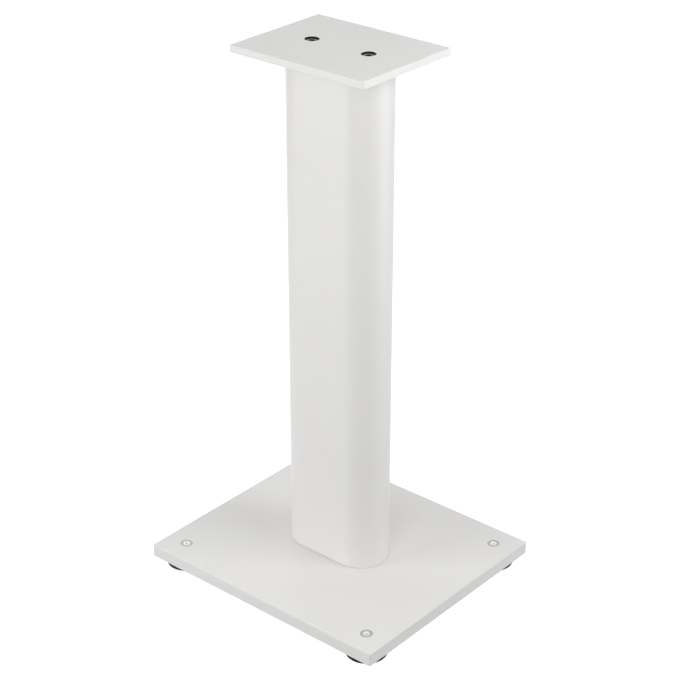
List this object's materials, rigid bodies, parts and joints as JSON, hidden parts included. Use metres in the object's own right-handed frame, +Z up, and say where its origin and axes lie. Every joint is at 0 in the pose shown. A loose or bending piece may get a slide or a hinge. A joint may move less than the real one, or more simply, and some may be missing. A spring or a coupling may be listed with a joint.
{
  "type": "speaker stand",
  "caption": "Floor stand for a bookshelf speaker: flat top plate on an oval two-shell column, rectangular base with screw-adjustable levelling feet.",
  "frame": {"origin": "on the floor, below the centre of the column and of the base", "axes": "+Z up; the front, a narrow rounded side of the column, faces -Y; +X to the right seen from the front"},
  "size_m": [0.28, 0.32, 0.61],
  "materials": {
    "white_metal": "satin",
    "white_aluminium": "satin",
    "white_board": "satin",
    "black_steel": "satin",
    "zinc_steel": "satin",
    "black_plastic": "matte",
    "rubber": "matte"
  },
  "bodies": {
    "stand": {"top_plate": "white_metal", "front_column_shell": "white_aluminium", "rear_column_shell": "white_aluminium", "base_plate": "white_board", "top_bolt_front": "black_steel", "bolt_cup_front": "black_plastic", "base_bolt_front": "black_steel", "base_washer_front": "zinc_steel", "top_bolt_rear": "black_steel", "bolt_cup_rear": "black_plastic", "base_bolt_rear": "black_steel", "base_washer_rear": "zinc_steel", "foot_insert_front_left": "zinc_steel", "foot_insert_front_right": "zinc_steel", "foot_insert_rear_left": "zinc_steel", "foot_insert_rear_right": "zinc_steel"},
    "foot_front_left": {"foot_pad_front_left": "black_plastic", "foot_sole_front_left": "rubber"},
    "stud_front_left": {"levelling_stud_front_left": "zinc_steel"},
    "foot_front_right": {"foot_pad_front_right": "black_plastic", "foot_sole_front_right": "rubber"},
    "stud_front_right": {"levelling_stud_front_right": "zinc_steel"},
    "foot_rear_left": {"foot_pad_rear_left": "black_plastic", "foot_sole_rear_left": "rubber"},
    "stud_rear_left": {"levelling_stud_rear_left": "zinc_steel"},
    "foot_rear_right": {"foot_pad_rear_right": "black_plastic", "foot_sole_rear_right": "rubber"},
    "stud_rear_right": {"levelling_stud_rear_right": "zinc_steel"}
  },
  "joints": [
    {"name": "foot_travel_front_left", "type": "slide", "parent": "stand", "child": "foot_front_left", "axis": [0, 0, -1], "range_m": [0, 0.008]},
    {"name": "stud_turn_front_left", "type": "hinge", "parent": "foot_front_left", "child": "stud_front_left", "pos_m": [-0.113, -0.133, 0], "axis": [0, 0, -1], "range_deg": [0, 2304.5]},
    {"name": "foot_travel_front_right", "type": "slide", "parent": "stand", "child": "foot_front_right", "axis": [0, 0, -1], "range_m": [0, 0.008]},
    {"name": "stud_turn_front_right", "type": "hinge", "parent": "foot_front_right", "child": "stud_front_right", "pos_m": [0.113, -0.133, 0], "axis": [0, 0, -1], "range_deg": [0, 2304.5]},
    {"name": "foot_travel_rear_left", "type": "slide", "parent": "stand", "child": "foot_rear_left", "axis": [0, 0, -1], "range_m": [0, 0.008]},
    {"name": "stud_turn_rear_left", "type": "hinge", "parent": "foot_rear_left", "child": "stud_rear_left", "pos_m": [-0.113, 0.133, 0], "axis": [0, 0, -1], "range_deg": [0, 2304.5]},
    {"name": "foot_travel_rear_right", "type": "slide", "parent": "stand", "child": "foot_rear_right", "axis": [0, 0, -1], "range_m": [0, 0.008]},
    {"name": "stud_turn_rear_right", "type": "hinge", "parent": "foot_rear_right", "child": "stud_rear_right", "pos_m": [0.113, 0.133, 0], "axis": [0, 0, -1], "range_deg": [0, 2304.5]}
  ],
  "couplings": [
    {"joint": "stud_turn_front_left", "follows": "foot_travel_front_left", "rad_per_m": 5026.5},
    {"joint": "stud_turn_front_right", "follows": "foot_travel_front_right", "rad_per_m": 5026.5},
    {"joint": "stud_turn_rear_left", "follows": "foot_travel_rear_left", "rad_per_m": 5026.5},
    {"joint": "stud_turn_rear_right", "follows": "foot_travel_rear_right", "rad_per_m": 5026.5}
  ]
}
